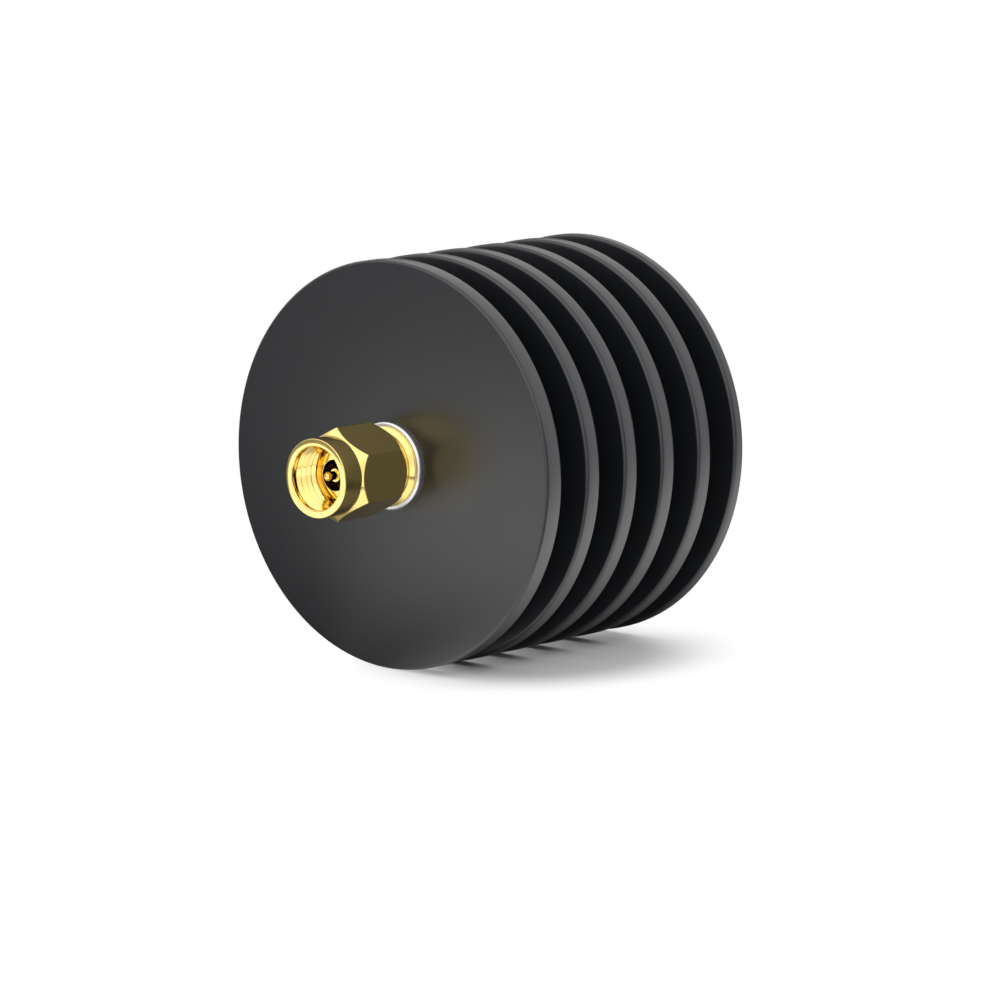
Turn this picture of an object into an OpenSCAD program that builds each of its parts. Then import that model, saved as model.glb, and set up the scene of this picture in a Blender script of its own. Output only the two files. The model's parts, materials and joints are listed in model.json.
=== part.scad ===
/*
Coaxial attenuator in a finned heat sink, with a screw-on plug as its input and a threaded jack as its output.
Millimetres. The axis is Y and Z is up. Y = 0 is the mating plane of the plug, which faces -Y, and the jack faces +Y.
*/

/* [Heat sink] */
// Diameter of the fins
fin_d = 40; // [30:0.5:60]
// Diameter of the core between the fins
core_d = 16; // [12:0.5:24]
// Number of fins, counting both end fins
fin_count = 6; // [5:1:10]
// Thickness of the front fin, which carries the plug
front_fin_t = 2.3; // [1.5:0.1:4]
// Thickness of each middle fin
fin_t = 2; // [1.2:0.1:3]
// Thickness of the rear fin, which carries the jack
rear_fin_t = 1.4; // [1.2:0.1:4]
// Width of the groove between two fins
groove_w = 3.7; // [3:0.1:6]
// Chamfer on the rims of the fins
rim_chamfer = 0.4; // [0.1:0.05:0.5]
// Fillet at the root of each fin
root_fillet = 0.8; // [0.2:0.1:1.2]
// Bore through the core, tapped at both ends
bore_d = 7.2; // [7:0.1:7.4]

/* [Coupling nut] */
// Width across the flats of the hexagon
nut_af = 8; // [8:0.1:9]
// Length of the whole nut
nut_l = 8.85; // [8:0.05:10]
// How far the nut reaches in front of the mating plane
nut_reach = 2.7; // [2.2:0.1:3.4]
// Diameter of the round collar in front of the hexagon
collar_d = 7.7; // [7.3:0.1:7.9]
// Length of the round collar
collar_l = 2.35; // [1.5:0.05:3]
// Threaded bore of the nut, at the root of its thread
nut_bore_d = 6.4; // [6.3:0.05:6.6]
// Chamfer at the mouth of the threaded bore
mouth_chamfer = 0.2; // [0.1:0.05:0.4]
// Round-off of the collar's front edge
collar_edge = 0.1; // [0.05:0.05:0.3]
// Length of the bevel on the rear corners of the hexagon
rear_bevel_l = 1; // [0.4:0.1:1.5]

/* [Plug] */
// Outside of the outer conductor's ring
ring_d = 4.6; // [4.4:0.05:4.7]
// Free length of that ring behind the mating plane
ring_l = 1.7; // [1.5:0.1:2]
// Bore of the air line in both connectors
line_d = 3; // [2.6:0.05:3.1]
// Diameter under the sealing ring
seal_seat_d = 5; // [4.95:0.05:5.1]
// Thickness of the sealing ring
seal_t = 0.8; // [0.6:0.05:1]
// Neck on which the coupling nut turns
neck_d = 5.8; // [5.6:0.05:5.9]
// Diameter of the shoulder behind the nut
shoulder_d = 6.8; // [6.6:0.05:7.2]
// Length of the shoulder behind the nut
shoulder_l = 0.55; // [0.3:0.05:1]
// Diameter of the flange on both connector bodies
flange_d = 7.9; // [7.5:0.05:8]
// Length of the plug's flange
flange_l = 0.55; // [0.5:0.05:1]
// Bevel on the front edge of the plug's flange
flange_bevel = 0.4; // [0.1:0.05:0.45]
// Depth of both connector bodies in the heat sink
boss_l = 5.5; // [5:0.1:6]

/* [Washers and retaining ring] */
// Diameter of the washers under both flanges
washer_d = 8.7; // [8.2:0.1:10]
// Thickness of the washers
washer_t = 0.5; // [0.3:0.05:1]
// Width of the retaining ring's section along the axis
snap_w = 0.5; // [0.4:0.05:0.6]
// How deep the retaining ring sits in the neck
snap_sink = 0.4; // [0.3:0.05:0.5]
// Radial height of the retaining ring's section
snap_h = 0.75; // [0.6:0.05:0.8]
// Opening in the retaining ring
snap_gap = 1.2; // [0.6:0.1:2]

/* [Jack] */
// Outside of the jack's thread
thread_d = 6.35; // [6.2:0.05:6.5]
// Length of the jack's thread
thread_l = 7.4; // [5.5:0.1:9]
// Diameter of the relief behind the thread
relief_d = 5.5; // [5.3:0.05:5.6]
// Length of the relief behind the thread
relief_l = 1; // [0.6:0.1:1.5]
// Length of the jack's flange
jack_flange_l = 1.1; // [0.8:0.1:2]
// Width across the two wrench flats on the jack's flange
jack_flats = 7.2; // [7.15:0.05:7.4]
// Recess that takes the mating plug's ring
recess_d = 4.65; // [4.6:0.05:4.75]
// Depth of that recess, down to the mating plane
recess_l = 1.9; // [1.7:0.1:2.1]
// Chamfer at the end of the jack's thread
thread_chamfer = 0.4; // [0.2:0.05:0.6]

/* [Centre contacts] */
// Diameter of the plug's pin
pin_d = 0.9; // [0.8:0.01:0.94]
// How far the pin reaches in front of the mating plane
pin_reach = 1.3; // [1.2:0.1:2]
// Diameter of both contacts along the air line
core_line_d = 1.27; // [1.2:0.01:1.35]
// Diameter of the stub that runs to the chip
stub_d = 0.8; // [0.75:0.01:0.9]
// Bore of the jack's spring socket
socket_bore_d = 0.94; // [0.92:0.01:0.98]
// Depth of the socket's bore
socket_bore_l = 2.6; // [2.4:0.1:4]
// Width of the slots that split the socket
socket_slot_w = 0.15; // [0.1:0.01:0.18]
// Length of those slots
socket_slot_l = 2.2; // [1.6:0.1:2.4]
// Thickness of the insulating beads
bead_t = 1.6; // [1.2:0.1:2]
// Diameter of the pockets that hold the beads
pocket_d = 5; // [4.6:0.05:5.4]
// Length of the bushes that lock the beads
bush_l = 2.4; // [2:0.1:2.8]

/* [Attenuator chip and its carrier] */
// Length of the ceramic chip along the axis
chip_l = 8; // [6:0.1:8.5]
// Width of the chip
chip_w = 5; // [4:0.1:5.4]
// Thickness of the chip
chip_t = 0.64; // [0.4:0.02:1]
// Width of the contact leads
lead_w = 0.6; // [0.4:0.05:0.65]
// Thickness of the contact leads
lead_t = 0.12; // [0.08:0.01:0.2]
// Length of lead that lies on the chip
lead_on_chip = 0.8; // [0.5:0.1:1.5]
// Length of lead gripped in a stub's slot
lead_grip = 1.2; // [0.8:0.1:1.4]
// Length of bare lead between a stub and the chip
lead_bare = 0.4; // [0.2:0.1:0.8]
// Shank diameter of the carrier's screws
screw_d = 1.2; // [1.05:0.05:1.25]
// Head diameter of those screws
screw_head_d = 1.6; // [1.5:0.05:1.65]
// Head height of those screws
screw_head_t = 0.5; // [0.35:0.05:0.55]
// Height of the screw seats above the split between the carrier's halves
screw_seat_z = 1; // [0.8:0.05:1.05]
// Reach of the screws below that split
screw_reach = 1.6; // [1.2:0.1:1.7]
// Distance of the screws from the axis
screw_x = 2.3; // [2.28:0.01:2.32]
// Distance of the screws from the ends of the carrier
screw_inset = 1.8; // [1.2:0.1:2]

/* [Clearances] */
// Radial play of threaded and seated pieces
fit = 0.05; // [0.02:0.01:0.08]
// Radial play of pieces on the thin centre contacts
fine_fit = 0.02; // [0.01:0.005:0.03]
// Radial running play of the nut on its neck
running = 0.05; // [0.03:0.01:0.09]
// Radial room outside the retaining ring, in the nut's groove
snap_room = 0.15; // [0.05:0.05:0.2]
// Play along the axis behind the coupling nut
nut_play = 0.15; // [0.08:0.01:0.3]

/* [Hidden] */
$fn = 96;

// How far a cutting shape runs past the face that it cuts
over = 0.5;
// Small edge break on machined edges
edge = 0.1;

// Places along the axis, from the plug's end to the jack's end
nut_front_y = -nut_reach;
nut_rear_y = nut_front_y + nut_l;
hex_y = nut_front_y + collar_l;
step_y = ring_l + edge + seal_t;
nut_seat_y = step_y + nut_play;
snap_y = (nut_seat_y + nut_rear_y) / 2;
shoulder_y = nut_rear_y + nut_play;
flange_y = shoulder_y + shoulder_l;
washer_y = flange_y + flange_l;
face_y = washer_y + washer_t;
sink_l = front_fin_t + (fin_count - 1) * groove_w + (fin_count - 2) * fin_t + rear_fin_t;
rear_y = face_y + sink_l;
chip_y = face_y + sink_l / 2;
jack_flange_y = rear_y + washer_t;
relief_y = jack_flange_y + jack_flange_l;
thread_y = relief_y + relief_l;
jack_end_y = thread_y + thread_l;
jack_plane_y = jack_end_y - recess_l;

// Ends of the connector bodies inside the heat sink, and the pockets behind them
boss_y = face_y + boss_l;
jack_boss_y = rear_y - boss_l;
pocket_y = boss_y - bush_l - bead_t;
jack_pocket_y = jack_boss_y + bush_l + bead_t;

// Radii
hex_corner_r = nut_af / 2 / cos(30);
boss_r = bore_d / 2 - fit;
bore_r = bore_d / 2;
core_r = core_d / 2;
fin_r = fin_d / 2;
snap_inner_r = neck_d / 2 - snap_sink;
snap_outer_r = snap_inner_r + snap_h;
snap_groove_r = snap_inner_r - fit;
nut_groove_r = snap_outer_r + snap_room;
snap_groove_w = snap_w + 2 * fit;
carrier_l = jack_boss_y - boss_y - 2 * fit;

// Stubs end short of the chip, and the leads bridge what is left
stub_end = chip_l / 2 + lead_bare;
lead_l = lead_on_chip + lead_bare + lead_grip - fit;

BLACK = "#2c2d30";
GOLD = "#d9b65c";
BRONZE = "#b98a4a";
SILVER = "#d8d9de";
NICKEL = "#b9b6ad";
WHITE = "#f0efe9";
SILICONE = "#b4532c";
CERAMIC = "#dfe3df";

// Turns a section about the Y axis: its x is the radius and its y is the place along the axis
module turned() {
    rotate([-90, 0, 0]) rotate_extrude() children();
}

// A round bar or hole along the Y axis
module bar(y, l, d) {
    translate([0, y, 0]) rotate([-90, 0, 0]) cylinder(d = d, h = l);
}

// Section of one fin with both rim edges chamfered
module fin_section(y, t) {
    polygon([[bore_r, y], [fin_r - rim_chamfer, y], [fin_r, y + rim_chamfer],
        [fin_r, y + t - rim_chamfer], [fin_r - rim_chamfer, y + t], [bore_r, y + t]]);
}

// Section of the concave fillet between the core and the side of a fin, up (1) or down (-1) the axis
module fillet_section(y, way) {
    translate([core_r, y]) difference() {
        translate([-over, way > 0 ? 0 : -root_fillet]) square([root_fillet + over, root_fillet]);
        translate([root_fillet, way * root_fillet]) circle(r = root_fillet);
    }
}

function fin_y(i) = face_y + (i == 0 ? 0 : front_fin_t + i * groove_w + (i - 1) * fin_t);
function fin_thickness(i) = i == 0 ? front_fin_t : i == fin_count - 1 ? rear_fin_t : fin_t;

// One turned piece: a bored core with disc fins
module heatsink() {
    color(BLACK) turned() {
        translate([bore_r, face_y]) square([core_r - bore_r, sink_l]);
        for (i = [0:fin_count - 1]) fin_section(fin_y(i), fin_thickness(i));
        for (i = [0:fin_count - 2]) {
            fillet_section(fin_y(i) + fin_thickness(i), 1);
            fillet_section(fin_y(i + 1), -1);
        }
    }
}

// Outer conductor of the plug, with the neck for the nut, the flange and the boss in the heat sink
module plug_body() {
    color(GOLD) turned() polygon([
        [line_d / 2, 0], [ring_d / 2, 0], [ring_d / 2, ring_l],
        [seal_seat_d / 2, ring_l + edge], [seal_seat_d / 2, step_y], [neck_d / 2 - edge, step_y],
        [neck_d / 2, step_y + edge],
        [neck_d / 2, snap_y - snap_groove_w / 2], [snap_groove_r, snap_y - snap_groove_w / 2],
        [snap_groove_r, snap_y + snap_groove_w / 2], [neck_d / 2, snap_y + snap_groove_w / 2],
        [neck_d / 2, shoulder_y], [shoulder_d / 2 - edge, shoulder_y], [shoulder_d / 2, shoulder_y + edge],
        [shoulder_d / 2, flange_y], [flange_d / 2 - flange_bevel, flange_y],
        [flange_d / 2, flange_y + flange_bevel],
        [flange_d / 2, washer_y], [boss_r, washer_y], [boss_r, boss_y - edge], [boss_r - edge, boss_y],
        [pocket_d / 2, boss_y], [pocket_d / 2, pocket_y], [line_d / 2, pocket_y]]);
}

// Collar, hexagon with bevelled corners, threaded bore and the rear bore with its groove for the retaining ring
module coupling_nut() {
    bore_r = nut_bore_d / 2;
    neck_r = neck_d / 2 + running;
    collar_r = collar_d / 2;
    corner_rise = hex_corner_r - collar_r;
    color(GOLD) difference() {
        union() {
            turned() polygon([[0, nut_front_y], [collar_r - collar_edge, nut_front_y],
                [collar_r, nut_front_y + collar_edge], [collar_r, hex_y], [0, hex_y]]);
            intersection() {
                translate([0, hex_y, 0]) rotate([-90, 30, 0])
                    cylinder(r = hex_corner_r, h = nut_rear_y - hex_y, $fn = 6);
                turned() polygon([[0, hex_y], [collar_r, hex_y], [hex_corner_r, hex_y + corner_rise],
                    [hex_corner_r + over, hex_y + corner_rise], [hex_corner_r + over, nut_rear_y - rear_bevel_l],
                    [hex_corner_r, nut_rear_y - rear_bevel_l], [nut_af / 2 - edge, nut_rear_y], [0, nut_rear_y]]);
            }
        }
        turned() polygon([[0, nut_front_y - over], [bore_r + mouth_chamfer, nut_front_y - over],
            [bore_r + mouth_chamfer, nut_front_y], [bore_r, nut_front_y + mouth_chamfer], [bore_r, nut_seat_y],
            [neck_r, nut_seat_y], [neck_r, snap_y - snap_groove_w / 2], [nut_groove_r, snap_y - snap_groove_w / 2],
            [nut_groove_r, snap_y + snap_groove_w / 2], [neck_r, snap_y + snap_groove_w / 2],
            [neck_r, nut_rear_y + over], [0, nut_rear_y + over]]);
    }
}

// Open spring ring that sits half in the neck's groove and half in the nut's
module snap_ring() {
    color(BRONZE) difference() {
        bar(snap_y - snap_w / 2, snap_w, 2 * snap_outer_r);
        bar(snap_y - snap_w / 2 - over, snap_w + 2 * over, 2 * snap_inner_r);
        translate([-snap_gap / 2, snap_y - snap_w / 2 - over, -snap_outer_r - over])
            cube([snap_gap, snap_w + 2 * over, snap_outer_r + over]);
    }
}

// Silicone sealing ring at the bottom of the nut, against which the mating jack presses
module nut_gasket() {
    outer_r = nut_bore_d / 2 - 2 * fit;
    inner_r = seal_seat_d / 2 + fit;
    color(SILICONE) turned() polygon([
        [inner_r, step_y], [inner_r, step_y - seal_t + edge], [inner_r + edge, step_y - seal_t],
        [outer_r - edge, step_y - seal_t], [outer_r, step_y - seal_t + edge], [outer_r, step_y]]);
}

// Slot in the end of a stub that grips a flat lead; way is the direction from the stub to the chip
module lead_slot(end_y, way) {
    translate([-stub_d, way > 0 ? end_y - lead_grip : end_y - over, -fine_fit])
        cube([2 * stub_d, lead_grip + over, lead_t + 2 * fine_fit]);
}

// Plug contact: rounded pin, shoulder on the mating plane, air-line length and slotted stub
module plug_pin() {
    end_y = chip_y - stub_end;
    tip_r = pin_d / 2;
    color(GOLD) difference() {
        turned() {
            translate([0, -pin_reach + tip_r]) intersection() {
                circle(r = tip_r);
                translate([0, -tip_r]) square([tip_r, tip_r]);
            }
            translate([0, -pin_reach + tip_r]) square([tip_r, pin_reach - tip_r + edge]);
            polygon([[0, edge], [core_line_d / 2 - edge, edge], [core_line_d / 2, 2 * edge],
                [core_line_d / 2, pocket_y - fit], [stub_d / 2, pocket_y - fit], [stub_d / 2, end_y], [0, end_y]]);
        }
        lead_slot(end_y, 1);
    }
}

// Jack contact: spring socket split by crossed slots, air-line length and slotted stub
module jack_socket() {
    end_y = chip_y + stub_end;
    front_y = jack_plane_y - edge;
    color(GOLD) difference() {
        turned() polygon([[0, end_y], [stub_d / 2, end_y], [stub_d / 2, jack_pocket_y + fit],
            [core_line_d / 2, jack_pocket_y + fit], [core_line_d / 2, front_y - edge],
            [core_line_d / 2 - edge, front_y], [0, front_y]]);
        bar(front_y - socket_bore_l, socket_bore_l + over, socket_bore_d);
        for (turn = [0, 90]) rotate([0, turn, 0])
            translate([-core_line_d, front_y - socket_slot_l, -socket_slot_w / 2])
                cube([2 * core_line_d, socket_slot_l + over, socket_slot_w]);
        lead_slot(end_y, -1);
    }
}

// Insulating bead between y and y + bead_t
module bead(y) {
    color(WHITE) difference() {
        bar(y, bead_t, pocket_d - 2 * fit);
        bar(y - over, bead_t + 2 * over, stub_d + 2 * fine_fit);
    }
}

// Bush between y and y + bush_l, which locks a bead and carries on the air line
module bush(y) {
    color(GOLD) difference() {
        bar(y, bush_l, pocket_d - 2 * fit);
        bar(y - over, bush_l + 2 * over, line_d);
    }
}

// Plain washer between y and y + washer_t
module washer(y) {
    color(SILVER) difference() {
        bar(y, washer_t, washer_d);
        bar(y - over, washer_t + 2 * over, bore_d);
    }
}

module plug_bead() {
    bead(pocket_y);
}

module jack_bead() {
    bead(jack_pocket_y - bead_t);
}

module plug_bush() {
    bush(pocket_y + bead_t);
}

module jack_bush() {
    bush(jack_boss_y);
}

module plug_washer() {
    washer(washer_y);
}

module jack_washer() {
    washer(rear_y);
}

// Outer conductor of the jack, with the thread's cylinder, the flange with its flats and the boss
module jack_body() {
    thread_r = thread_d / 2;
    color(GOLD) difference() {
        turned() polygon([
            [recess_d / 2 + edge, jack_end_y], [thread_r - thread_chamfer, jack_end_y],
            [thread_r, jack_end_y - thread_chamfer], [thread_r, thread_y + edge], [thread_r - edge, thread_y],
            [relief_d / 2, thread_y], [relief_d / 2, relief_y], [flange_d / 2 - edge, relief_y],
            [flange_d / 2, relief_y - edge], [flange_d / 2, jack_flange_y], [boss_r, jack_flange_y],
            [boss_r, jack_boss_y + edge], [boss_r - edge, jack_boss_y], [pocket_d / 2, jack_boss_y],
            [pocket_d / 2, jack_pocket_y], [line_d / 2, jack_pocket_y], [line_d / 2, jack_plane_y],
            [recess_d / 2, jack_plane_y], [recess_d / 2, jack_end_y - edge]]);
        for (side = [-1, 1]) wrench_flat(side);
    }
}

// What one wrench flat takes off the jack's flange
module wrench_flat(side) {
    translate([side > 0 ? jack_flats / 2 : -jack_flats / 2 - flange_d, jack_flange_y - fit, -flange_d])
        cube([flange_d, jack_flange_l + 2 * fit, 2 * flange_d]);
}

// Places of the carrier's screws
module at_screws() {
    for (x = [-screw_x, screw_x], y = [-1, 1])
        translate([x, chip_y + y * (carrier_l / 2 - screw_inset), 0]) children();
}

// Half of the carrier's cylinder: upper (1) or lower (-1)
module carrier_half(way) {
    intersection() {
        bar(chip_y - carrier_l / 2, carrier_l, 2 * boss_r);
        translate([-bore_d, chip_y - carrier_l, way > 0 ? 0 : -bore_d]) cube([2 * bore_d, 2 * carrier_l, bore_d]);
    }
}

// Lower half, with the chip's pocket, the channels to it and the tapped holes
module carrier_lower() {
    pocket_l = chip_l + 2 * fit;
    channel_l = (carrier_l - pocket_l) / 2 + over;
    color(NICKEL) difference() {
        carrier_half(-1);
        translate([-chip_w / 2 - fit, chip_y - pocket_l / 2, -chip_t])
            cube([chip_w + 2 * fit, pocket_l, chip_t + over]);
        bar(chip_y - carrier_l / 2 - over, channel_l, line_d);
        bar(chip_y + pocket_l / 2, channel_l, line_d);
        at_screws() translate([0, 0, -screw_reach - 2 * fit])
            cylinder(d = screw_d + 2 * fine_fit, h = screw_reach + over);
    }
}

// Upper half, which clamps the chip's edges and leaves a channel over its film
module carrier_upper() {
    color(NICKEL) difference() {
        carrier_half(1);
        bar(chip_y - carrier_l / 2 - over, carrier_l + 2 * over, line_d);
        at_screws() {
            translate([0, 0, -over]) cylinder(d = screw_d + 2 * fit, h = screw_seat_z + 2 * over);
            translate([0, 0, screw_seat_z]) cylinder(d = screw_head_d + 2 * fit, h = bore_d);
        }
    }
}

// Four small slotted screws that clamp the halves together
module carrier_screws() {
    slot_w = 0.3;
    slot_depth = screw_head_t / 2;
    color(SILVER) at_screws() difference() {
        union() {
            translate([0, 0, -screw_reach]) cylinder(d = screw_d, h = screw_reach + screw_seat_z);
            translate([0, 0, screw_seat_z]) cylinder(d = screw_head_d, h = screw_head_t);
        }
        translate([-slot_w / 2, -screw_head_d, screw_seat_z + screw_head_t - slot_depth])
            cube([slot_w, 2 * screw_head_d, slot_depth + over]);
    }
}

// Ceramic slab whose film sheds the power; its upper face lies on the carrier's split
module attenuator_chip() {
    color(CERAMIC) translate([-chip_w / 2, chip_y - chip_l / 2, -chip_t]) cube([chip_w, chip_l, chip_t]);
}

// Flat foil from a stub's slot to the end of the chip, on the plug's side (-1) or the jack's (1)
module lead(way) {
    inner = chip_l / 2 - lead_on_chip;
    start_y = way > 0 ? chip_y + inner : chip_y - inner - lead_l;
    color(SILVER) translate([-lead_w / 2, start_y, 0]) cube([lead_w, lead_l, lead_t]);
}

module input_lead() {
    lead(-1);
}

module output_lead() {
    lead(1);
}

heatsink();
plug_body();
coupling_nut();
snap_ring();
nut_gasket();
plug_pin();
plug_bead();
plug_bush();
plug_washer();
carrier_lower();
carrier_upper();
carrier_screws();
attenuator_chip();
input_lead();
output_lead();
jack_body();
jack_socket();
jack_bead();
jack_bush();
jack_washer();
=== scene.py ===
"""Dresses the coaxial attenuator: a black finned heat sink between a gold plug and a gold jack."""

import json
import math

import bmesh
import bpy
from bpy.props import FloatProperty, FloatVectorProperty, IntProperty, PointerProperty
from mathutils import Matrix, Vector


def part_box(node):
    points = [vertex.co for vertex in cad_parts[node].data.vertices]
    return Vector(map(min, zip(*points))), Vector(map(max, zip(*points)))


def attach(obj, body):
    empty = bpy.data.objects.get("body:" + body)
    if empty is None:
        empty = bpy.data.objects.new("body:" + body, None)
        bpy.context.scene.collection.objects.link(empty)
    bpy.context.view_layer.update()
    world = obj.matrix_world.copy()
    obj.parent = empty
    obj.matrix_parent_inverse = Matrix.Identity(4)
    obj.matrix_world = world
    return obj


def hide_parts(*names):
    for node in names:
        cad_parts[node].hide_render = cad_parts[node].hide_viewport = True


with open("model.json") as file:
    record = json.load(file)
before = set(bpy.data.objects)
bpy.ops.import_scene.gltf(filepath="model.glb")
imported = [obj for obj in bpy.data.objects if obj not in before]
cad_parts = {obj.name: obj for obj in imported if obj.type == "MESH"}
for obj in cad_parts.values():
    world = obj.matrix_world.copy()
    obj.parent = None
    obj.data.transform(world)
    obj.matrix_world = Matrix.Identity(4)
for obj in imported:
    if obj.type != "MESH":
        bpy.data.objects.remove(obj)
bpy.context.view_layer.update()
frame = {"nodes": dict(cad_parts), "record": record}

bl_info = {
    "name": "Coaxial attenuator",
    "version": (1, 0, 0),
    "blender": (4, 5, 0),
    "location": "3D View > Sidebar > Attenuator",
    "description": "Models and finishes a coaxial attenuator around its packed solids",
    "category": "Object",
}

MM = 0.001
FULL_TURN = 2 * math.pi
# Gap between pieces that sit in each other, and how deep a ridge or a tine is sunk into what carries it
FIT = 0.05 * MM
SUNK = 0.02 * MM
# Points nearer to each other than this are one point
SAME = 0.0001 * MM
# Edges that bend more than this are broken, or stay sharp
SHARP = math.radians(22)
# Flat stretches round each turned piece
SINK_STEPS, NUT_STEPS, BODY_STEPS, SEAL_STEPS, PIN_STEPS, TINE_STEPS = 288, 192, 160, 128, 64, 14
# Width of a thread's ridge at its root and at its crest, as shares of the pitch
NUT_RIDGE = (0.95, 0.08)
JACK_RIDGE = (0.86, 0.16)


def linear(hexadecimal):
    """An sRGB hex colour as linear red, green and blue."""
    channels = [int(hexadecimal[i:i + 2], 16) / 255 for i in (1, 3, 5)]
    return [c / 12.92 if c <= 0.04045 else ((c + 0.055) / 1.055) ** 2.4 for c in channels]


def millimetres(name, description, value):
    """A length property whose default is given in millimetres."""
    return FloatProperty(name=name, description=description, default=value * MM, unit="LENGTH", precision=5)


def tint(name, description, hexadecimal):
    """A colour property whose default is given as an sRGB hex colour."""
    return FloatVectorProperty(
        name=name, description=description, default=linear(hexadecimal), subtype="COLOR", size=3, min=0, max=1
    )


def span(node):
    """Where a packed solid starts and ends along the axis."""
    low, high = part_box(node)
    return low[1], high[1]


def radius(node):
    """Half the height of a packed solid, which is its radius if it was turned."""
    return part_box(node)[1][2]


class HeatSinkSizes(bpy.types.PropertyGroup):
    """Sizes of the finned heat sink."""

    fins: IntProperty(name="Fins", description="Number of disc fins", default=6, min=2)
    front_fin: millimetres("Front fin", "Thickness of the fin that carries the plug", 2.3)
    middle_fin: millimetres("Middle fins", "Thickness of each fin between the end fins", 2.0)
    rear_fin: millimetres("Rear fin", "Thickness of the fin that carries the jack", 1.4)
    core: millimetres("Core", "Radius of the core between the fins", 8.0)
    bore: millimetres("Bore", "Radius of the bore that holds both connector bodies", 3.6)
    front_round: millimetres("Front rounding", "Rounding of each fin's front corner", 0.35)
    rear_round: millimetres("Rear rounding", "Rounding of each fin's rear corner", 0.4)
    root: millimetres("Root fillet", "Fillet between the core and each fin", 0.8)
    edge: millimetres("Edge break", "Rounding left on the edges of the bore", 0.1)


class PlugSizes(bpy.types.PropertyGroup):
    """Sizes of the plug's body, and of the contacts of the plug and the jack."""

    line: millimetres("Air line", "Radius of the bore round the centre contact", 1.5)
    ring: millimetres("Ring", "Outer radius of the ring that meets the jack", 2.3)
    ring_length: millimetres("Ring length", "Length of that ring", 1.7)
    seal_seat: millimetres("Seal seat", "Radius under the sealing ring", 2.5)
    seal: millimetres("Sealing ring", "Thickness of the sealing ring", 0.8)
    seal_room: millimetres("Seal room", "Room along the axis for the sealing ring", 0.1)
    neck: millimetres("Neck", "Radius of the neck on which the nut turns", 2.9)
    neck_groove: millimetres("Neck groove", "Radius at the bottom of the groove for the retaining ring", 2.45)
    shoulder: millimetres("Shoulder", "Radius of the shoulder behind the nut", 3.4)
    step: millimetres("Step", "Length of the shoulder, and of the flange behind it", 0.55)
    flange_bevel: millimetres("Flange bevel", "Bevel on the front edge of the flange", 0.4)
    edge: millimetres("Edge break", "Rounding left on the body's edges", 0.05)
    pin: millimetres("Pin", "Radius of the pin's tip", 0.45)
    tip: millimetres("Tip rounding", "Rounding of the pin's tip", 0.432)
    pin_back: millimetres("Pin's shoulder", "How far the pin's shoulder lies behind the mating plane", 0.1)
    pin_edge: millimetres("Pin's edge break", "Rounding left on the pin's edges", 0.03)
    contact: millimetres("Contact", "Radius of both contacts along the air line", 0.635)
    stub: millimetres("Stub", "Radius of the stubs that run to the chip", 0.4)


class NutSizes(bpy.types.PropertyGroup):
    """Sizes of the coupling nut."""

    collar: millimetres("Collar", "Radius of the round collar", 3.85)
    collar_length: millimetres("Collar length", "Length of the round collar", 2.35)
    bore: millimetres("Bore", "Radius of the bore at the root of its thread", 3.2)
    mouth: millimetres("Mouth", "Chamfer at the mouth of the bore", 0.1)
    lip: millimetres("Lip", "How far the first crest of the thread stands in from the bore", 0.12)
    lip_length: millimetres("Lip length", "Length of that crest, its flank left out", 0.3)
    round_off: millimetres("Round-off", "Rounding of the collar's front edge", 0.1)
    rear_bevel: millimetres("Rear bevel", "Length of the bevel on the hexagon's rear corners", 1.0)
    rear_foot: millimetres("Bevel's foot", "How far that bevel runs in past the flats", 0.1)
    seat_play: millimetres("Seat play", "Play along the axis between the nut and the plug's body", 0.15)
    play: millimetres("Play", "Play round the neck", 0.05)
    ring_room: millimetres("Ring room", "Room round the retaining ring in its groove", 0.15)
    edge: millimetres("Edge break", "Rounding left on the machined edges", 0.06)


class RingSizes(bpy.types.PropertyGroup):
    """Sizes of the washers and the sealing ring."""

    washer_round: millimetres("Washer rounding", "Rounding of each washer's outward rim", 0.3)
    washer_edge: millimetres("Washer edge break", "Rounding left on each washer's other edges", 0.06)
    seal_round: millimetres("Seal rounding", "Rounding of the sealing ring's edges", 0.22)


class ThreadSizes(bpy.types.PropertyGroup):
    """Sizes of the threads on the nut and the jack."""

    pitch: millimetres("Pitch", "Advance of the thread in one turn", 0.7056)
    depth: millimetres("Depth", "Height of the thread's ridge", 0.32)
    nut_depth: millimetres("Nut's depth", "Height of the ridge in the nut", 0.3)
    lead: millimetres("Lead", "Plain stretch of the nut's bore in front of its thread", 0.5)
    nut_turns: IntProperty(name="Turns", description="Turns of the nut's thread", default=5, min=1)
    steps: IntProperty(name="Steps", description="Flat stretches in one turn", default=72, min=12)


class JackSizes(bpy.types.PropertyGroup):
    """Sizes of the jack."""

    outside: millimetres("Outside", "Radius over the thread", 3.175)
    recess: millimetres("Recess", "Radius of the recess that takes the plug's ring", 2.325)
    recess_length: millimetres("Recess depth", "Depth of that recess", 1.9)
    relief: millimetres("Relief", "Radius of the relief behind the thread", 2.75)
    relief_length: millimetres("Relief length", "Length of that relief", 1.0)
    flange: millimetres("Flange", "Length of the jack's flange", 1.1)
    chamfer: millimetres("Chamfer", "Chamfer at the end of the thread", 0.4)
    end_edge: millimetres("End edge", "Chamfer on the end of the body under the thread", 0.1)
    edge: millimetres("Edge break", "Rounding left on the body's edges", 0.05)
    socket: millimetres("Socket", "Radius of the socket's bore", 0.47)
    socket_depth: millimetres("Socket depth", "Depth of the socket's bore", 2.6)
    slot: millimetres("Slots", "Width of the slots that split the socket", 0.15)
    slot_length: millimetres("Slot length", "Length of those slots", 2.2)
    socket_edge: millimetres("Socket's edge break", "Rounding left on the socket's edges", 0.02)


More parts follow.
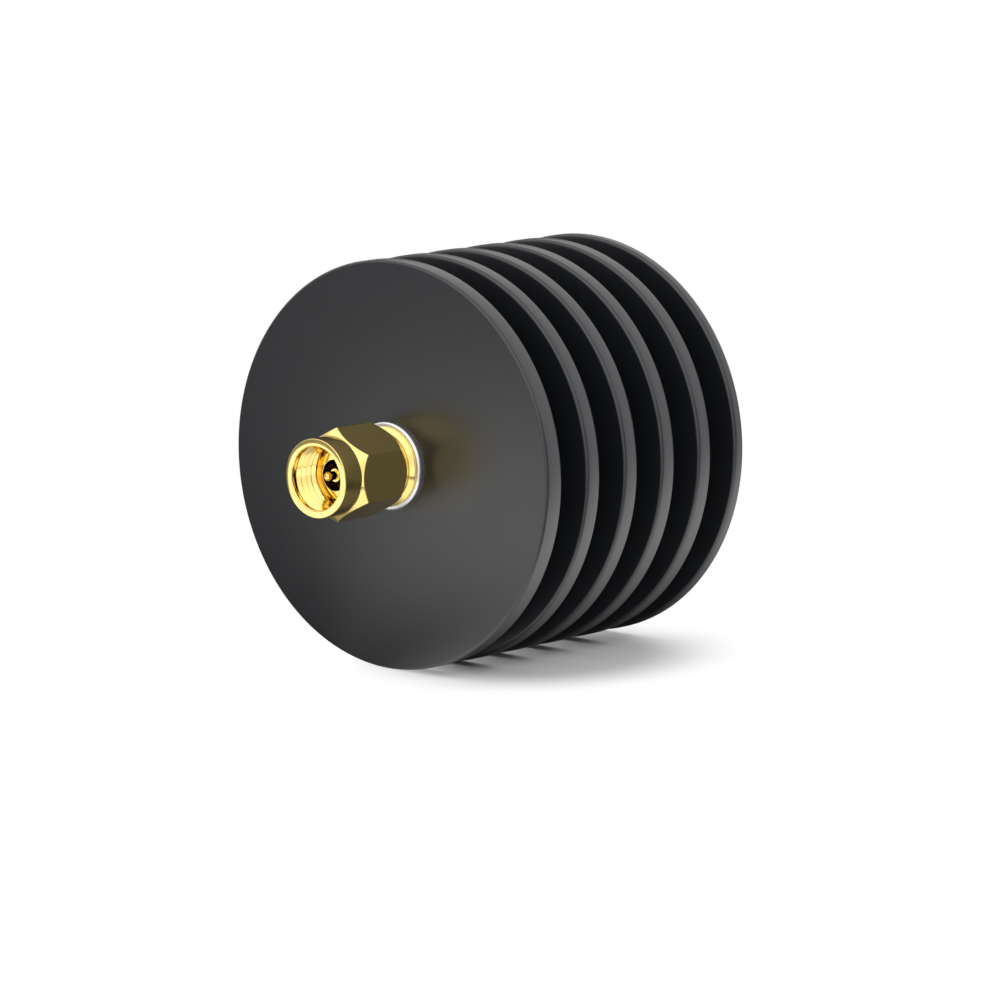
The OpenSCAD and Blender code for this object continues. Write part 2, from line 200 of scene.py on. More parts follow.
class Finishes(bpy.types.PropertyGroup):
    """Colours of the materials."""

    anodised: tint("Anodised", "Dye in the anodised layer of the heat sink", "#191b1f")
    gold: tint("Gold", "Gold plate of the nut, the bodies and the contacts", "#ffe28c")
    nickel: tint("Nickel", "Satin nickel plate of the washers", "#f2f2f2")
    carrier: tint("Carrier", "Dull nickel plate of the chip's carrier", "#b9b4a8")
    bronze: tint("Bronze", "Bare bronze of the retaining ring", "#b98d55")
    steel: tint("Steel", "Stainless steel of the small screws", "#b8b9bc")
    foil: tint("Foil", "Silver foil of the leads", "#e2e2e4")
    silicone: tint("Silicone", "Moulded silicone of the sealing ring", "#b5532a")
    insulator: tint("Insulator", "White fluoropolymer of the beads", "#efede6")
    ceramic: tint("Ceramic", "Fired ceramic of the chip", "#dfe2de")
    floor: tint("Floor", "Pale table top", "#f4f4f4")


class StageSettings(bpy.types.PropertyGroup):
    """Camera, floor and light."""

    azimuth: FloatProperty(
        name="Azimuth", description="Camera's place round the object", default=math.radians(40.315), subtype="ANGLE"
    )
    elevation: FloatProperty(
        name="Elevation", description="Camera's height", default=math.radians(9.036), subtype="ANGLE"
    )
    distance: millimetres("Distance", "From the heat sink's front face to the camera", 580.8)
    aside: millimetres("Aside", "How far the camera stands to its right of the axis", 10.768)
    below: millimetres("Below", "How far the camera stands below the axis", 3.302)
    lens: FloatProperty(name="Lens", description="Focal length in millimetres", default=216, min=1)
    room: FloatProperty(name="Room", description="How brightly the white room lights the object", default=0.6, min=0)


GROUPS = {
    "attenuator_sink": HeatSinkSizes,
    "attenuator_plug": PlugSizes,
    "attenuator_nut": NutSizes,
    "attenuator_rings": RingSizes,
    "attenuator_thread": ThreadSizes,
    "attenuator_jack": JackSizes,
    "attenuator_finish": Finishes,
    "attenuator_stage": StageSettings,
}


def add(tree, kind, inputs=(), **settings):
    """Adds a node with its own settings, and fills its inputs with values or with other nodes' outputs."""
    node = tree.nodes.new(kind)
    for name, value in settings.items():
        setattr(node, name, value)
    for name, value in dict(inputs).items():
        if isinstance(value, bpy.types.NodeSocket):
            tree.links.new(value, node.inputs[name])
        else:
            node.inputs[name].default_value = value
    return node


def finish(name, colour, **values):
    """A new material, with its shader's constants set on the sockets, and the tree and shader to build on."""
    material = bpy.data.materials.new(name)
    material.use_nodes = True
    tree = material.node_tree
    shader = tree.nodes["Principled BSDF"]
    shader.inputs["Base Color"].default_value = (*colour, 1)
    for socket, value in values.items():
        shader.inputs[socket.replace("_", " ")].default_value = value
    return material, tree, shader


def spread(tree, value, low, high):
    """Maps a pattern's 0 to 1 onto low to high."""
    return add(tree, "ShaderNodeMapRange", {"Value": value, "To Min": low, "To Max": high}).outputs["Result"]


def shade(tree, colour, pattern, low, high):
    """The colour, made darker or lighter by a pattern."""
    factor = spread(tree, pattern, low, high)
    lightness = add(tree, "ShaderNodeHueSaturation", {"Color": (*colour, 1), "Value": factor})
    return lightness.outputs["Color"]


def mottle(tree, size, detail=3.0):
    """Soft blotches of about that size, in metres."""
    place = add(tree, "ShaderNodeTexCoord").outputs["Object"]
    noise = add(tree, "ShaderNodeTexNoise", {"Vector": place, "Scale": 1 / size, "Detail": detail})
    return noise.outputs["Fac"]


def turning_marks(tree, spacing, way):
    """Fine tool marks that far apart: rings on the faces and bands on the cylinders of a piece turned about Y."""
    # Length of one wave where the pattern's scale is 1
    wave_period = 0.314
    place = add(tree, "ShaderNodeTexCoord").outputs["Object"]
    settings = {"wave_type": way, "wave_profile": "SIN"}
    settings["rings_direction" if way == "RINGS" else "bands_direction"] = "Y"
    wave = add(
        tree, "ShaderNodeTexWave",
        {"Vector": place, "Scale": wave_period / spacing, "Distortion": 0.6, "Detail": 1.0}, **settings,
    )
    return wave.outputs["Fac"]


def raise_marks(tree, shader, pattern, height):
    """Gives the shader a bump from a pattern, that high in metres."""
    bump = add(tree, "ShaderNodeBump", {"Height": pattern, "Strength": 1.0, "Distance": height})
    tree.links.new(bump.outputs["Normal"], shader.inputs["Normal"])


def anodised_aluminium(colours):
    """Aluminium, fine-turned, etched and dyed black: a satin dark grey that turns pale at a glance along it."""
    material, tree, shader = finish("anodised_aluminium", colours.anodised, Metallic=0.0, Roughness=0.34, IOR=1.72)
    blotches = mottle(tree, 4 * MM)
    tree.links.new(shade(tree, colours.anodised, blotches, 0.92, 1.08), shader.inputs["Base Color"])
    tree.links.new(spread(tree, blotches, 0.32, 0.36), shader.inputs["Roughness"])
    raise_marks(tree, shader, turning_marks(tree, 0.12 * MM, "RINGS"), 0.0004 * MM)
    return material


def gold_plated_brass(colours):
    """Brass, turned and plated with gold: bright and warm, with fine tool marks that streak its reflections."""
    material, tree, shader = finish("gold_plated_brass", colours.gold, Metallic=1.0, Roughness=0.08)
    blotches = mottle(tree, 0.6 * MM)
    tree.links.new(shade(tree, colours.gold, blotches, 0.96, 1.03), shader.inputs["Base Color"])
    tree.links.new(spread(tree, blotches, 0.06, 0.11), shader.inputs["Roughness"])
    raise_marks(tree, shader, turning_marks(tree, 0.09 * MM, "BANDS"), 0.0006 * MM)
    return material


def plated_metal(name, colour, roughness, grain):
    """A plated or bare metal whose grain, in metres, breaks up its gloss."""
    material, tree, shader = finish(name, colour, Metallic=1.0, Roughness=roughness)
    blotches = mottle(tree, grain)
    tree.links.new(shade(tree, colour, blotches, 0.95, 1.04), shader.inputs["Base Color"])
    tree.links.new(spread(tree, blotches, roughness * 0.8, roughness * 1.2), shader.inputs["Roughness"])
    return material


def moulded_silicone(colours):
    """Moulded silicone rubber: orange-brown, slightly translucent and dull."""
    material, tree, shader = finish(
        "moulded_silicone", colours.silicone, Roughness=0.5, IOR=1.41,
        Subsurface_Weight=0.2, Subsurface_Scale=0.3 * MM,
    )
    tree.links.new(shade(tree, colours.silicone, mottle(tree, 0.4 * MM), 0.9, 1.06), shader.inputs["Base Color"])
    return material


def turned_fluoropolymer(colours):
    """White fluoropolymer, turned from rod: waxy, with faint tool marks."""
    material, tree, shader = finish(
        "turned_fluoropolymer", colours.insulator, Roughness=0.45, IOR=1.36,
        Subsurface_Weight=0.3, Subsurface_Scale=0.5 * MM,
    )
    raise_marks(tree, shader, turning_marks(tree, 0.15 * MM, "RINGS"), 0.001 * MM)
    return material


def fired_ceramic(colours):
    """Fired ceramic: white with the grain of its press, matt."""
    material, tree, shader = finish("fired_ceramic", colours.ceramic, Roughness=0.6, IOR=1.7)
    grain = mottle(tree, 0.08 * MM, detail=6.0)
    tree.links.new(shade(tree, colours.ceramic, grain, 0.9, 1.04), shader.inputs["Base Color"])
    raise_marks(tree, shader, grain, 0.002 * MM)
    return material


def made(name, build, *values):
    """The material of that name, built once."""
    return bpy.data.materials.get(name) or build(*values)


def slot_material(slot):
    """The material that stands for one of the record's slots."""
    colours = bpy.context.scene.attenuator_finish
    if slot == "anodised_black":
        return made("anodised_aluminium", anodised_aluminium, colours)
    if slot == "gold_plate":
        return made("gold_plated_brass", gold_plated_brass, colours)
    if slot == "silicone":
        return made("moulded_silicone", moulded_silicone, colours)
    if slot == "insulator":
        return made("turned_fluoropolymer", turned_fluoropolymer, colours)
    if slot == "ceramic":
        return made("fired_ceramic", fired_ceramic, colours)
    # Name, colour, roughness and grain
    metals = {
        "bright_nickel": ("satin_nickel_plate", colours.nickel, 0.3, 0.3 * MM),
        "nickel_plate": ("dull_nickel_plate", colours.carrier, 0.38, 0.2 * MM),
        "spring_bronze": ("bare_spring_bronze", colours.bronze, 0.3, 0.3 * MM),
        "screw_steel": ("turned_stainless_steel", colours.steel, 0.3, 0.2 * MM),
        "silver_foil": ("rolled_silver_foil", colours.foil, 0.25, 0.2 * MM),
    }
    name, colour, roughness, grain = metals[slot]
    return made(name, plated_metal, name, colour, roughness, grain)


def turn(mesh, section, steps, rounds=(), closed=True, angle=FULL_TURN):
    """Spins a section of (radius, place along Y) about Y; rounds are (corner numbers, radius) to round first."""
    corners = [mesh.verts.new((r, y, 0)) for r, y in section]
    ring = corners[1:] + (corners[:1] if closed else [])
    for pair in zip(corners, ring):
        mesh.edges.new(pair)
    for numbers, size in rounds:
        bmesh.ops.bevel(
            mesh, geom=[corners[n] for n in numbers], offset=size, offset_type="OFFSET", affect="VERTICES",
            segments=5, profile=0.5, material=-1, clamp_overlap=True,
        )
    start = [v for v in mesh.verts if v.is_valid and not v.link_faces]
    start += [e for e in mesh.edges if e.is_valid and not e.link_faces]
    bmesh.ops.spin(
        mesh, geom=start, cent=(0, 0, 0), axis=(0, 1, 0), dvec=(0, 0, 0), angle=angle, steps=steps,
        use_merge=angle == FULL_TURN, use_duplicate=False,
    )


def close(mesh):
    """Merges what the spin left double, and points the faces outwards."""
    bmesh.ops.remove_doubles(mesh, verts=mesh.verts, dist=SAME)
    bmesh.ops.recalc_face_normals(mesh, faces=mesh.faces)


def turned(section, steps, rounds=(), closed=True):
    """A new closed mesh, turned about Y from a section."""
    mesh = bmesh.new()
    turn(mesh, section, steps, rounds, closed)
    close(mesh)
    return mesh


def mill_flats(mesh, count, half_flat):
    """Cuts that many flats round Y, each half_flat away from it, and closes the cuts."""
    for number in range(count):
        angle = number * FULL_TURN / count
        outwards = Vector((math.cos(angle), 0, math.sin(angle)))
        cut = bmesh.ops.bisect_plane(
            mesh, geom=mesh.verts[:] + mesh.edges[:] + mesh.faces[:], plane_co=outwards * half_flat,
            plane_no=outwards, clear_outer=True,
        )["geom_cut"]
        bmesh.ops.holes_fill(mesh, edges=[e for e in cut if isinstance(e, bmesh.types.BMEdge)], sides=0)
    bmesh.ops.recalc_face_normals(mesh, faces=mesh.faces)


def slit(mesh, bottom, way, low, high):
    """Cuts a slot for a foil into a turned stub, right through along X.

    It runs from bottom to the stub's end, which lies way (1 or -1) along Y, and from low to high along Z.
    """
    for point, normal in (((0, bottom, 0), (0, 1, 0)), ((0, 0, low), (0, 0, 1)), ((0, 0, high), (0, 0, 1))):
        stub = [f for f in mesh.faces if any((v.co.y - bottom) * way > -SAME for v in f.verts)]
        parts = list(dict.fromkeys(part for f in stub for part in (*f.verts, *f.edges, f)))
        bmesh.ops.bisect_plane(mesh, geom=parts, dist=SAME / 10, plane_co=point, plane_no=normal)
    middles = [(f, f.calc_center_median()) for f in mesh.faces]
    gone = [f for f, middle in middles if (middle.y - bottom) * way > 0 and low < middle.z < high]
    bmesh.ops.delete(mesh, geom=gone, context="FACES")
    rim = list(dict.fromkeys(v for e in mesh.edges if e.is_boundary for v in e.verts))
    y, z = 1, 2
    for axis, level, across in ((z, low, y), (z, high, y), (y, bottom, z)):
        corners = [v for v in rim if abs(v.co[axis] - level) < SAME]
        middle = sum((v.co for v in corners), Vector()) / len(corners)
        corners.sort(key=lambda v: math.atan2(v.co[across] - middle[across], v.co.x - middle.x))
        mesh.faces.new(corners)
    bmesh.ops.recalc_face_normals(mesh, faces=mesh.faces)


def helix(root, crest, start, turns, shares):
    """A new right-hand ridge from root radius to crest radius, whose widths there are shares of the pitch."""
    thread = bpy.context.scene.attenuator_thread
    base, top = (share * thread.pitch / 2 for share in shares)
    mesh = bmesh.new()
    section = [(root, start - base), (crest, start - top), (crest, start + top), (root, start + base)]
    first = mesh.faces.new([mesh.verts.new((r, y, 0)) for r, y in section])
    bmesh.ops.spin(
        mesh, geom=[first], cent=(0, 0, 0), axis=(0, 1, 0), dvec=(0, thread.pitch / thread.steps, 0),
        angle=FULL_TURN * turns, steps=round(thread.steps * turns), use_merge=False, use_duplicate=False,
    )
    bmesh.ops.recalc_face_normals(mesh, faces=mesh.faces)
    return mesh


def piece(mesh, name, body, slot, nodes=(), edge=0.0):
    """Makes the mesh an object that rides on a body, in place of packed solids, with rounded edges."""
    data = bpy.data.meshes.new(name)
    mesh.to_mesh(data)
    mesh.free()
    data.polygons.foreach_set("use_smooth", [True] * len(data.polygons))
    thing = bpy.data.objects.new(name, data)
    bpy.context.scene.collection.objects.link(thing)
    if edge:
        bevel = thing.modifiers.new("edge_break", "BEVEL")
        bevel.width = edge
        bevel.segments = 2
        bevel.limit_method = "ANGLE"
        bevel.angle_limit = SHARP
        bevel.harden_normals = True
    else:
        data.set_sharp_from_angle(angle=SHARP)
    data.materials.append(slot_material(slot))
    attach(thing, body)
    if nodes:
        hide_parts(*nodes)


class ATTENUATOR_OT_heat_sink(bpy.types.Operator):
    """Turns the finned heat sink"""

    bl_idname = "attenuator.heat_sink"
    bl_label = "Heat sink"

    def execute(self, context):
        sizes = context.scene.attenuator_sink
        front, rear = span("heatsink")
        rim = radius("heatsink")
        middle = sizes.fins - 2
        grooves = sizes.fins - 1
        metal = sizes.front_fin + middle * sizes.middle_fin + sizes.rear_fin
        groove = (rear - front - metal) / grooves
        section = [(sizes.bore, front)]
        roots, fronts, rears = [], [], []
        place = front
        for number in range(sizes.fins):
            first, last = number == 0, number == sizes.fins - 1
            thick = sizes.front_fin if first else sizes.rear_fin if last else sizes.middle_fin
            if not first:
                roots.append(len(section))
                section.append((sizes.core, place))
            fronts.append(len(section))
            rears.append(len(section) + 1)
            section += [(rim, place), (rim, place + thick)]
            if not last:
                roots.append(len(section))
                section.append((sizes.core, place + thick))
            place += thick + groove
        section.append((sizes.bore, rear))
        rounds = [(roots, sizes.root), (fronts, sizes.front_round), (rears, sizes.rear_round)]
        mesh = turned(section, SINK_STEPS, rounds)
        piece(mesh, "finned_heat_sink", "attenuator", "anodised_black", ["heatsink"], sizes.edge)
        return {"FINISHED"}


class ATTENUATOR_OT_coupling_nut(bpy.types.Operator):
    """Models the coupling nut and the thread in its bore"""

    bl_idname = "attenuator.coupling_nut"
    bl_label = "Coupling nut"

    def execute(self, context):
        sizes, plug = context.scene.attenuator_nut, context.scene.attenuator_plug
        front, rear = span("coupling_nut")
        ring_front, ring_rear = span("snap_ring")
        groove = radius("snap_ring") + sizes.ring_room
        flats = 6
        half_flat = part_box("coupling_nut")[1][0]
        corner = half_flat / math.cos(math.pi / flats)
        # The blank's radius, which is past the corners until the flats are milled
        blank = 1.3 * half_flat
        hexagon = front + sizes.collar_length
        seat = plug.ring_length + plug.seal + plug.seal_room + sizes.seat_play
        neck = plug.neck + sizes.play
        bevel_foot = half_flat - sizes.rear_foot
        bevel_slope = sizes.rear_bevel / (corner - bevel_foot)
        lip, lip_end = sizes.bore - sizes.lip, front + sizes.lip_length
        section = [
            (lip + sizes.mouth, front), (sizes.collar, front), (sizes.collar, hexagon),
            (blank, hexagon + blank - sizes.collar), (blank, rear - bevel_slope * (blank - bevel_foot)),
            (bevel_foot, rear), (neck, rear),
            (neck, ring_rear + FIT), (groove, ring_rear + FIT), (groove, ring_front - FIT), (neck, ring_front - FIT),
            (neck, seat), (sizes.bore, seat), (sizes.bore, lip_end + sizes.lip), (lip, lip_end),
            (lip, front + sizes.mouth),
        ]
        mesh = turned(section, NUT_STEPS, rounds=[([1], sizes.round_off)])
        mill_flats(mesh, flats, half_flat)
        piece(mesh, "hexagonal_coupling_nut", "nut", "gold_plate", ["coupling_nut"], sizes.edge)

        thread = context.scene.attenuator_thread
        crest = sizes.bore - thread.nut_depth
        ridge = helix(sizes.bore + SUNK, crest, lip_end + thread.lead, thread.nut_turns, NUT_RIDGE)
        piece(ridge, "nut_thread", "nut", "gold_plate")
        return {"FINISHED"}


class ATTENUATOR_OT_plug(bpy.types.Operator):
    """Turns the plug's body and its pin"""

    bl_idname = "attenuator.plug"
    bl_label = "Plug"

    def execute(self, context):
        sizes = context.scene.attenuator_plug
        plane, boss_end = span("plug_body")
        washer_front = span("plug_washer")[0]
        flange = radius("plug_body")
        boss = radius("carrier_upper")
        pocket = radius("plug_bead") + FIT
        bead_front = span("plug_bead")[0]
        seat = sizes.ring_length + sizes.seal + sizes.seal_room
        shoulder = washer_front - 2 * sizes.step
        ring_front, ring_rear = span("snap_ring")
        section = [
            (sizes.line, plane), (sizes.ring, plane), (sizes.ring, sizes.ring_length),
            (sizes.seal_seat, sizes.ring_length), (sizes.seal_seat, seat), (sizes.neck, seat),
            (sizes.neck, ring_front - FIT), (sizes.neck_groove, ring_front - FIT),
            (sizes.neck_groove, ring_rear + FIT), (sizes.neck, ring_rear + FIT),
            (sizes.neck, shoulder), (sizes.shoulder, shoulder), (sizes.shoulder, shoulder + sizes.step),
            (flange - sizes.flange_bevel, shoulder + sizes.step),
            (flange, shoulder + sizes.step + sizes.flange_bevel),
            (flange, washer_front), (boss, washer_front), (boss, boss_end),
            (pocket, boss_end), (pocket, bead_front), (sizes.line, bead_front),
        ]
        mesh = turned(section, BODY_STEPS)
        piece(mesh, "plug_outer_conductor", "attenuator", "gold_plate", ["plug_body"], sizes.edge)

        tip, stub_end = span("plug_pin")
        shoulder = plane + sizes.pin_back
        section = [
            (0, tip), (sizes.pin, tip), (sizes.pin, shoulder), (sizes.contact, shoulder),
            (sizes.contact, bead_front - FIT), (sizes.stub, bead_front - FIT), (sizes.stub, stub_end), (0, stub_end),
        ]
        mesh = turned(section, PIN_STEPS, rounds=[([1], sizes.tip)], closed=False)
        foil_low, foil_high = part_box("input_lead")
        slit(mesh, foil_low[1] - FIT, 1, foil_low[2] - SUNK, foil_high[2] + SUNK)
        piece(mesh, "centre_pin", "attenuator", "gold_plate", ["plug_pin"], sizes.pin_edge)
        return {"FINISHED"}


class ATTENUATOR_OT_rings(bpy.types.Operator):
    """Turns both washers and moulds the sealing ring"""

    bl_idname = "attenuator.rings"
    bl_label = "Washers and sealing ring"

    def execute(self, context):
        sizes, hole = context.scene.attenuator_rings, context.scene.attenuator_sink.bore
        front_rim, rear_rim = 1, 2
        for name, node, rim in (("front_washer", "plug_washer", front_rim), ("rear_washer", "jack_washer", rear_rim)):
            start, end = span(node)
            outside = radius(node)
            section = [(hole, start), (outside, start), (outside, end), (hole, end)]
            mesh = turned(section, BODY_STEPS, rounds=[([rim], sizes.washer_round)])
            piece(mesh, name, "attenuator", "bright_nickel", [node], sizes.washer_edge)
        start, end = span("nut_gasket")
        inside = context.scene.attenuator_plug.seal_seat + FIT
        outside = radius("nut_gasket")
        section = [(inside, start), (outside, start), (outside, end), (inside, end)]
        mesh = turned(section, SEAL_STEPS, rounds=[([0, 1, 2, 3], sizes.seal_round)])
        piece(mesh, "sealing_ring", "attenuator", "silicone", ["nut_gasket"])
        return {"FINISHED"}


class ATTENUATOR_OT_jack(bpy.types.Operator):
    """Models the jack's body with its thread, and the spring socket"""

    bl_idname = "attenuator.jack"
    bl_label = "Jack"

    def execute(self, context):
        sizes, plug = context.scene.attenuator_jack, context.scene.attenuator_plug
        thread = context.scene.attenuator_thread
        boss_end, end = span("jack_body")
        washer_end = span("jack_washer")[1]
        flange = radius("jack_body")
        boss = radius("carrier_upper")
        pocket = radius("jack_bead") + FIT
        bead_end = span("jack_bead")[1]
        root = sizes.outside - thread.depth
        plane = end - sizes.recess_length
        relief = washer_end + sizes.flange
        thread_start = relief + sizes.relief_length
        section = [
            (sizes.recess, end), (root - sizes.end_edge, end), (root, end - sizes.end_edge), (root, thread_start),
            (sizes.relief, thread_start), (sizes.relief, relief), (flange, relief), (flange, washer_end),
            (boss, washer_end), (boss, boss_end), (pocket, boss_end), (pocket, bead_end), (plug.line, bead_end),
            (plug.line, plane), (sizes.recess, plane),
        ]
        mesh = turned(section, BODY_STEPS)
        mill_flats(mesh, 2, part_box("jack_body")[1][0])
        piece(mesh, "jack_outer_conductor", "attenuator", "gold_plate", ["jack_body"], sizes.edge)

        turns = (end - thread_start) / thread.pitch - 1
        ridge = helix(root - SUNK, sizes.outside, thread_start + thread.pitch / 2, turns, JACK_RIDGE)
        for corner in ridge.verts:
            here = math.hypot(corner.co.x, corner.co.z)
            allowed = sizes.outside - max(0, sizes.chamfer - (end - corner.co.y))
            if here > allowed:
                corner.co.x *= allowed / here
                corner.co.z *= allowed / here
        piece(ridge, "jack_thread", "attenuator", "gold_plate")

        stub_end, tip = span("jack_socket")
        floor = tip - sizes.slot_length
        bottom = tip - sizes.socket_depth
        section = [
            (0, stub_end), (plug.stub, stub_end), (plug.stub, bead_end), (plug.contact, bead_end),
            (plug.contact, floor), (sizes.socket, floor), (sizes.socket, bottom), (0, bottom),
        ]
        mesh = turned(section, PIN_STEPS, closed=False)
        foil_low, foil_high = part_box("output_lead")
        slit(mesh, foil_high[1] + FIT, -1, foil_low[2] - SUNK, foil_high[2] + SUNK)
        tines = 4
        gap = sizes.slot / plug.contact
        root = floor - SUNK
        section = [(sizes.socket, root), (plug.contact, root), (plug.contact, tip), (sizes.socket, tip)]
        for number in range(tines):
            tine = bmesh.new()
            turn(tine, section, TINE_STEPS, angle=FULL_TURN / tines - gap)
            bmesh.ops.holes_fill(tine, edges=tine.edges, sides=0)
            place = Matrix.Rotation(number * FULL_TURN / tines + gap / 2, 3, "Y")
            bmesh.ops.rotate(tine, verts=tine.verts, cent=(0, 0, 0), matrix=place)
            close(tine)
            data = bpy.data.meshes.new("tine")
            tine.to_mesh(data)
            tine.free()
            mesh.from_mesh(data)
            bpy.data.meshes.remove(data)
        piece(mesh, "spring_socket", "attenuator", "gold_plate", ["jack_socket"], sizes.socket_edge)
        return {"FINISHED"}


class ATTENUATOR_OT_inner_pieces(bpy.types.Operator):
    """Finishes the pieces inside, which keep their packed solids"""

    bl_idname = "attenuator.inner_pieces"
    bl_label = "Inner pieces"

    def execute(self, context):
        for entry in frame["record"]["subparts"]:
            solid = frame["nodes"][entry["node"]]
            for place in solid.material_slots:
                place.material = slot_material(entry["material_slot"])
        return {"FINISHED"}


class ATTENUATOR_OT_stage(bpy.types.Operator):
    """Sets up the floor, the lights and the camera"""

    bl_idname = "attenuator.stage"
    bl_label = "Stage"

    def execute(self, context):
        scene = context.scene
        lay_floor(scene)
        light(scene)
        place_camera(scene)
        scene.view_settings.view_transform = "Standard"
        return {"FINISHED"}


def lay_floor(scene):
    """A wide pale floor that the camera sees shadowed near the object, and plain white away from it. Mirrors see it
    only as a painted reflection, glowing by painted ramps.
    """
    reach = 4.0
    mesh = bmesh.new()
    bmesh.ops.create_grid(mesh, x_segments=2, y_segments=2, size=reach)
    bmesh.ops.translate(mesh, verts=mesh.verts, vec=(0, 0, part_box("heatsink")[0][2]))
    data = bpy.data.meshes.new("floor")
    mesh.to_mesh(data)
    mesh.free()
    floor = bpy.data.objects.new("floor", data)
    scene.collection.objects.link(floor)
    colour = scene.attenuator_finish.floor
    material, tree, shader = finish("pale_table_top", colour, Roughness=0.7)
    camera, mirrored = rays(tree)
    place = add(tree, "ShaderNodeTexCoord").outputs["Object"]
    shadow = {"Vector": place, "Location": (7.2 * MM, 23.2 * MM, 0), "Scale": (17.2 * MM, 22 * MM, 1)}
    inside = add(tree, "ShaderNodeMapping", shadow, vector_type="TEXTURE").outputs["Vector"]
    fade = ramp(tree, distance(tree, inside, (0, 0, 0)), (0.45, 0), (1.05, 1))
    amount = combine(tree, "MAXIMUM", combine(tree, "MULTIPLY", fade, camera), mirrored)
    # Painted reflection: mirror rays see the floor glow by painted ramps instead of its lit colour
    glow = add(tree, "ShaderNodeMix", {0: mirrored, 2: 1.0, 3: painted_table_reflection(tree, place)}).outputs[0]
    white = add(tree, "ShaderNodeEmission", {"Color": (1, 1, 1, 1), "Strength": glow}).outputs[0]
    mixed = add(tree, "ShaderNodeMixShader", {0: amount, 1: shader.outputs[0], 2: white})
    tree.links.new(mixed.outputs[0], tree.nodes["Material Output"].inputs["Surface"])
    data.materials.append(material)
    material.cycles.emission_sampling = "NONE"


def rays(tree):
    """Whether a ray comes from the camera, and whether it comes by way of a mirror or a pane."""
    ray = add(tree, "ShaderNodeLightPath").outputs
    return ray["Is Camera Ray"], combine(tree, "MAXIMUM", ray["Is Glossy Ray"], ray["Is Transmission Ray"])


def combine(tree, operation, *values):
    """Joins values one after another, by MINIMUM, MAXIMUM or MULTIPLY."""
    result = values[0]
    for value in values[1:]:
        result = add(tree, "ShaderNodeMath", {0: result, 1: value}, operation=operation).outputs[0]
    return result


def along(tree, place, direction):
    """How far a place lies along a direction, or how much one direction points along another."""
    return add(tree, "ShaderNodeVectorMath", {0: place, 1: direction}, operation="DOT_PRODUCT").outputs["Value"]


def distance(tree, place, point):
    """How far a place lies from a point."""
    return add(tree, "ShaderNodeVectorMath", {0: place, 1: point}, operation="DISTANCE").outputs["Value"]


def ramp(tree, value, start, end):
    """Goes smoothly from one (value, result) to another."""
    ends = {"Value": value, "From Min": start[0], "To Min": start[1], "From Max": end[0], "To Max": end[1]}
    return add(tree, "ShaderNodeMapRange", ends, interpolation_type="SMOOTHSTEP").outputs["Result"]


def painted_table_reflection(tree, place):
    """Painted reflection of the table: how bright mirrors see it, where 1 is white; brighter than white in painted
    highlights, darker in painted shade near the heat sink.
    """
    parts = add(tree, "ShaderNodeSeparateXYZ", {"Vector": place}).outputs
    return combine(tree, "MAXIMUM", painted_front_reflection(tree, place, parts), painted_rear_reflection(tree, place, parts))


def painted_front_reflection(tree, place, parts):
    """The table in front of the heat sink, all painted reflection: a bright pool of painted light among painted dark
    screens at its left and its right, and painted shade at its foot.
    """
    reach = distance(tree, place, (0, 0, -20 * MM))
    # Painted dark screens: the reflection dims at the left, far off and at the right
    left = ramp(tree, along(tree, place, (-0.719, 0.695, 0)), (5 * MM, 1), (12 * MM, 0.12))
    fall = ramp(tree, reach, (180 * MM, 1), (230 * MM, 0.15))
    right = ramp(tree, parts["X"], (26 * MM, 1), (36 * MM, 0.2))
    # Painted shade: the reflection darkens in front of the heat sink's foot, where its shadow would fall, but not
    # beside the foot
    foot = ramp(tree, parts["Y"], (-40 * MM, 1), (8 * MM, 0.25))
    beside_painted_foot_shade = ramp(tree, parts["X"], (-4 * MM, 0.25), (8 * MM, 1))
    foot = combine(tree, "MAXIMUM", foot, beside_painted_foot_shade)
    screens = combine(tree, "MINIMUM", left, fall, right, foot)
    # Painted light: a pool brighter than white, and the table brighter still far off
    pool = ramp(tree, distance(tree, place, (-45 * MM, -70 * MM, 0)), (20 * MM, 1.6), (80 * MM, 1.2))
    rise = ramp(tree, reach, (120 * MM, 1), (160 * MM, 1.6))
    before = ramp(tree, parts["Y"], (6 * MM, 1), (12 * MM, 0))
    return combine(tree, "MULTIPLY", screens, pool, rise, before)


def painted_rear_reflection(tree, place, parts):
    """The table beside the heat sink and behind it, all painted reflection: a bright patch at the right, brighter
    than white, with painted shade next to the heat sink, and a painted glint as a narrow wedge.
    """
    # Painted glint: a narrow wedge of the table glows brighter than white
    turned_place = {"Vector": place, "Rotation": (0, 0, math.radians(40))}
    wedge = add(tree, "ShaderNodeMapping", turned_place).outputs["Vector"]
    wedge = add(tree, "ShaderNodeSeparateXYZ", {"Vector": wedge}).outputs
    slope = add(tree, "ShaderNodeMath", {0: wedge["Y"], 1: wedge["X"]}, operation="DIVIDE").outputs[0]
    slant = add(tree, "ShaderNodeMath", {0: slope}, operation="ABSOLUTE").outputs[0]
    painted_card_glint = ramp(tree, slant, (0.13, 1.5), (0.2, 0))
    start = ramp(tree, wedge["X"], (42 * MM, 0), (54 * MM, 1))
    painted_card_glint = combine(tree, "MULTIPLY", painted_card_glint, start)
    # Painted shade next to the heat sink's side, and painted light brighter than white further right
    aside = ramp(tree, parts["X"], (6 * MM, 0.05), (30 * MM, 1.5))
    beyond = ramp(tree, along(tree, place, (-1.6, 1, 0)), (45 * MM, 1), (80 * MM, 0.05))
    side = ramp(tree, along(tree, place, (1, -1, 0)), (30 * MM, 1), (80 * MM, 0.25))
    distant = ramp(tree, parts["X"], (40 * MM, 1), (90 * MM, 0.75))
    behind = ramp(tree, parts["Y"], (4 * MM, 0), (12 * MM, 1))
    patch = combine(tree, "MULTIPLY", aside, beyond, side, distant, behind)
    return combine(tree, "MAXIMUM", painted_card_glint, patch)


